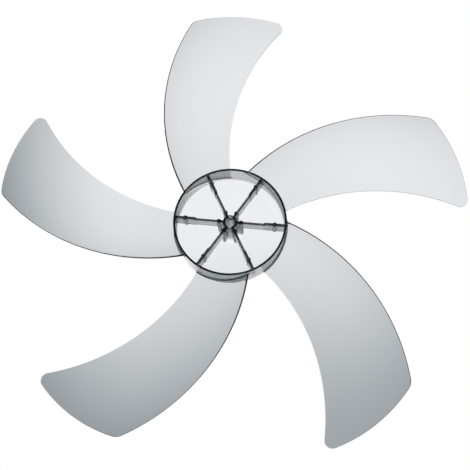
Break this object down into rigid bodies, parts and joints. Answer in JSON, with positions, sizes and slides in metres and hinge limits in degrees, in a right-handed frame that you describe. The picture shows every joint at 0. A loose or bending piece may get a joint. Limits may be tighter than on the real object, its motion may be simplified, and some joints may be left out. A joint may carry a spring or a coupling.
{
  "type": "fan blade",
  "caption": "Axial fan blade moulded in one piece from clear smoke-grey plastic: swept, curved blades round a ribbed cup hub with a slotted shaft boss.",
  "frame": {"origin": "centre of the round seat under the nose, on the axis of the shaft bore", "axes": "+Z along the bore from the closed nose to the open rim of the hub; one rib lies 11.3 degrees clockwise of +X"},
  "size_m": [0.3887, 0.3876, 0.03],
  "materials": {
    "smoke_plastic": "gloss"
  },
  "bodies": {
    "root": {"fan_blade": "smoke_plastic"}
  },
  "joints": []
}
